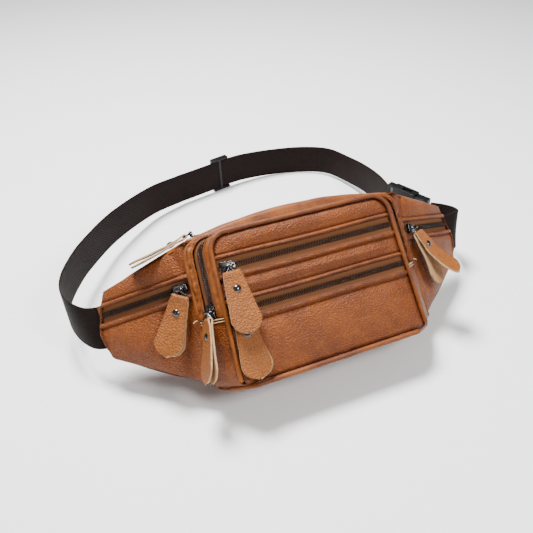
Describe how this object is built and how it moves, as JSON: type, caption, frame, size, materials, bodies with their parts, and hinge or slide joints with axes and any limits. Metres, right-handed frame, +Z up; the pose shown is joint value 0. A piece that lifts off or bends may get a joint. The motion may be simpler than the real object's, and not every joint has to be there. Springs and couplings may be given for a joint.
{
  "type": "waist pack",
  "caption": "Leather waist pack with two wings, a zipped front pouch, zips with leather pulls, and a webbing belt with a side-release buckle.",
  "frame": {"origin": "centre of the whole object's box, on the surface it rests on", "axes": "+Z up; +X to the object's right as seen from the front, from wing tip to wing tip; +Y from the front pouch towards the back of the belt loop. The pack leans back 38 degrees on its belt loop."},
  "size_m": [0.4162, 0.3967, 0.1391],
  "materials": {
    "tan_leather": "pebbled, semi-gloss",
    "piping_leather": "smooth, semi-gloss",
    "pull_leather": "pebbled, raw suede edges",
    "zip_tape": "woven",
    "zip_coil": "shiny coil",
    "gunmetal": "dark polished",
    "webbing": "ribbed weave",
    "black_plastic": "satin"
  },
  "bodies": {
    "pack": {"back_panel": "tan_leather", "top_panel": "tan_leather", "bottom_panel": "tan_leather", "left_wing_upper": "tan_leather", "left_wing_lower": "tan_leather", "right_wing_upper": "tan_leather", "right_wing_lower": "tan_leather", "pouch_divider": "zip_tape", "gusset_front_band": "tan_leather", "gusset_rear_band": "tan_leather", "gusset_base": "tan_leather", "front_strip_top": "tan_leather", "front_strip_middle": "tan_leather", "front_strip_bottom": "tan_leather", "front_piping": "piping_leather", "base_piping": "piping_leather", "tape_main": "zip_tape", "tape_left_wing": "zip_tape", "tape_gusset": "zip_tape", "tape_upper_front": "zip_tape", "tape_lower_front": "zip_tape", "tape_right_wing": "zip_tape", "coil_main": "zip_coil", "coil_left_wing": "zip_coil", "coil_gusset": "zip_coil", "coil_upper_front": "zip_coil", "coil_lower_front": "zip_coil", "coil_right_wing": "zip_coil", "belt_long": "webbing", "belt_loop_layer": "webbing", "belt_short": "webbing", "buckle_socket": "black_plastic", "buckle_plug": "black_plastic"},
    "slider_main": {"slider_main": "gunmetal"},
    "pull_main": {"bail_main": "gunmetal", "pull_main": "pull_leather", "rivet_main": "gunmetal"},
    "slider_left_wing": {"slider_left_wing": "gunmetal"},
    "pull_left_wing": {"bail_left_wing": "gunmetal", "pull_left_wing": "pull_leather", "rivet_left_wing": "gunmetal"},
    "slider_gusset": {"slider_gusset": "gunmetal"},
    "pull_gusset": {"bail_gusset": "gunmetal", "pull_gusset": "pull_leather", "rivet_gusset": "gunmetal"},
    "slider_upper_front": {"slider_upper_front": "gunmetal"},
    "pull_upper_front": {"bail_upper_front": "gunmetal", "pull_upper_front": "pull_leather", "rivet_upper_front": "gunmetal"},
    "slider_lower_front": {"slider_lower_front": "gunmetal"},
    "pull_lower_front": {"bail_lower_front": "gunmetal", "pull_lower_front": "pull_leather", "rivet_lower_front": "gunmetal"},
    "slider_right_wing": {"slider_right_wing": "gunmetal"},
    "pull_right_wing": {"bail_right_wing": "gunmetal", "pull_right_wing": "pull_leather", "rivet_right_wing": "gunmetal"},
    "tri_glide": {"tri_glide": "black_plastic"},
    "arm_upper": {"buckle_arm_upper": "black_plastic"},
    "arm_lower": {"buckle_arm_lower": "black_plastic"}
  },
  "joints": [
    {"name": "main_zip_run", "type": "hinge", "parent": "pack", "child": "slider_main", "pos_m": [0, -0.34014, -0.21659], "axis": [0, 0.788, -0.6157], "range_deg": [0, 23.4]},
    {"name": "left_wing_zip_run", "type": "slide", "parent": "pack", "child": "slider_left_wing", "axis": [-0.8598, 0.3517, -0.3703], "range_m": [0, 0.063]},
    {"name": "gusset_zip_run", "type": "slide", "parent": "pack", "child": "slider_gusset", "axis": [0.0511, 0.6407, 0.7661], "range_m": [0, 0.04]},
    {"name": "upper_front_zip_run", "type": "slide", "parent": "pack", "child": "slider_upper_front", "axis": [1, 0, 0], "range_m": [0, 0.144]},
    {"name": "lower_front_zip_run", "type": "slide", "parent": "pack", "child": "slider_lower_front", "axis": [1, 0, 0], "range_m": [0, 0.145]},
    {"name": "right_wing_zip_run", "type": "slide", "parent": "pack", "child": "slider_right_wing", "axis": [0.8598, 0.3517, -0.3703], "range_m": [0, 0.057]},
    {"name": "main_pull_swing", "type": "hinge", "parent": "slider_main", "child": "pull_main", "pos_m": [-0.08896, -0.07752, 0.11955], "axis": [0, 0.788, -0.6157], "range_deg": [0, 130]},
    {"name": "left_wing_pull_swing", "type": "hinge", "parent": "slider_left_wing", "child": "pull_left_wing", "pos_m": [-0.11373, -0.11824, 0.09499], "axis": [-0.8598, 0.3517, -0.3703], "range_deg": [0, 120]},
    {"name": "gusset_pull_swing", "type": "hinge", "parent": "slider_gusset", "child": "pull_gusset", "pos_m": [-0.09796, -0.14556, 0.08612], "axis": [-0.656, 0.5999, -0.458], "range_deg": [0, 80]},
    {"name": "upper_front_pull_swing", "type": "hinge", "parent": "slider_upper_front", "child": "pull_upper_front", "pos_m": [-0.072, -0.13455, 0.11914], "axis": [-1, 0, 0], "range_deg": [0, 120]},
    {"name": "lower_front_pull_swing", "type": "hinge", "parent": "slider_lower_front", "child": "pull_lower_front", "pos_m": [-0.073, -0.15933, 0.09166], "axis": [-1, 0, 0], "range_deg": [0, 120]},
    {"name": "right_wing_pull_swing", "type": "hinge", "parent": "slider_right_wing", "child": "pull_right_wing", "pos_m": [0.1189, -0.11613, 0.09276], "axis": [-0.8598, -0.3517, 0.3703], "range_deg": [0, 110]},
    {"name": "tri_glide_slide", "type": "slide", "parent": "pack", "child": "tri_glide", "axis": [-0.9632, -0.2688, 0], "range_m": [0, 0.03]},
    {"name": "arm_upper_squeeze", "type": "hinge", "parent": "pack", "child": "arm_upper", "pos_m": [0.18601, -0.01993, 0.0515], "axis": [-0.9145, -0.4045, 0], "range_deg": [0, 8], "stiffness_Nm_per_rad": 0.4},
    {"name": "arm_lower_squeeze", "type": "hinge", "parent": "pack", "child": "arm_lower", "pos_m": [0.18601, -0.01993, 0.0245], "axis": [0.9145, 0.4045, 0], "range_deg": [0, 8], "stiffness_Nm_per_rad": 0.4}
  ],
  "couplings": [
    {"joint": "lower_front_pull_swing", "follows": "upper_front_pull_swing", "ratio": 1},
    {"joint": "arm_lower_squeeze", "follows": "arm_upper_squeeze", "ratio": 1}
  ]
}
